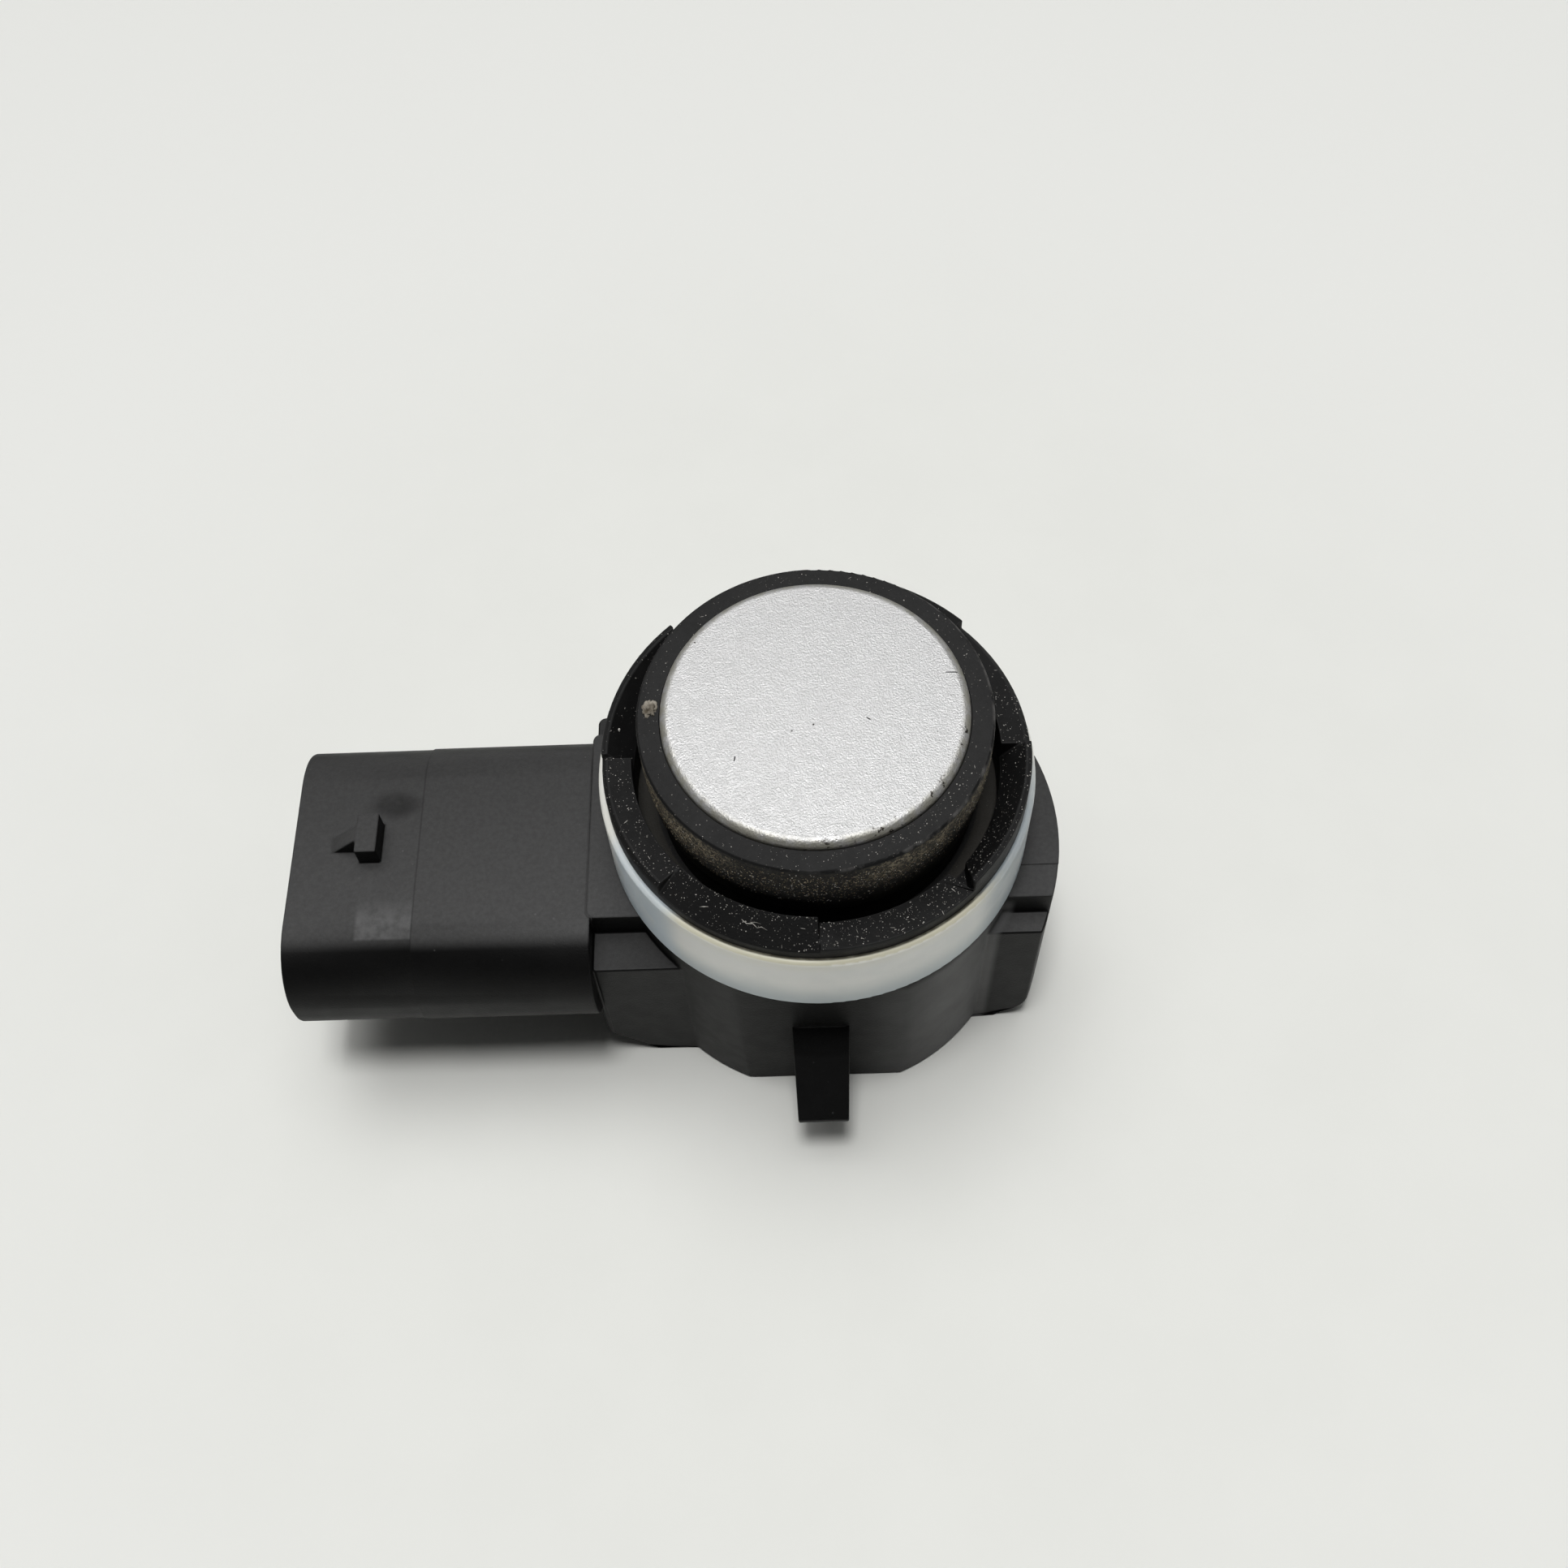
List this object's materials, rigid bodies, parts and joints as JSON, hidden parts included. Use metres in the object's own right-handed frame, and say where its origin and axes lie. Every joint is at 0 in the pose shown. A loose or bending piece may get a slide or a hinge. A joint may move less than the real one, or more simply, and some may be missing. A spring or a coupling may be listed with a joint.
{
  "type": "parking sensor",
  "caption": "Ultrasonic parking sensor: painted sounding face in a rubber collar, crown ring, milky seal ring, and a black housing with a side plug socket, latch wings and a latch wedge.",
  "frame": {"origin": "centre of the rear face, on the axis of the sensing head", "axes": "+Z along the head's axis towards the sensing face, -X towards the mouth of the plug socket, -Y towards the latch wedge"},
  "size_m": [0.0421, 0.0263, 0.0239],
  "materials": {
    "housing_plastic": "moulded, semi-gloss",
    "cover_plastic": "moulded, matt",
    "milky_silicone": "milky, translucent",
    "crown_plastic": "moulded, dusty",
    "collar_rubber": "matt, dusty",
    "silver_paint": "fine silver paint",
    "piezo_ceramic": "silvered",
    "damping_foam": "soft",
    "red_wire": "insulated",
    "black_wire": "insulated",
    "carrier_plastic": "moulded",
    "contact_brass": "plated",
    "board_green": "solder mask",
    "chip_plastic": "moulded",
    "ferrite": "sintered",
    "can_aluminium": "satin",
    "chip_ceramic": "sintered",
    "resistor_ceramic": "coated",
    "tinned_metal": "tinned"
  },
  "bodies": {
    "root": {"housing": "housing_plastic", "rear_cover": "cover_plastic", "seal_ring": "milky_silicone", "crown_ring": "crown_plastic", "decoupling_ring": "collar_rubber", "transducer_cup": "silver_paint", "piezo_disc": "piezo_ceramic", "damping_pad": "damping_foam", "piezo_lead": "red_wire", "ground_lead": "black_wire", "contact_carrier": "carrier_plastic", "contact_pin_1": "contact_brass", "contact_pin_2": "contact_brass", "circuit_board": "board_green", "driver_chip": "chip_plastic", "transformer": "ferrite", "storage_capacitor": "can_aluminium", "chip_capacitors": "chip_ceramic", "chip_resistors": "resistor_ceramic", "terminal_1": "tinned_metal", "terminal_2": "tinned_metal", "terminal_3": "tinned_metal"}
  },
  "joints": []
}
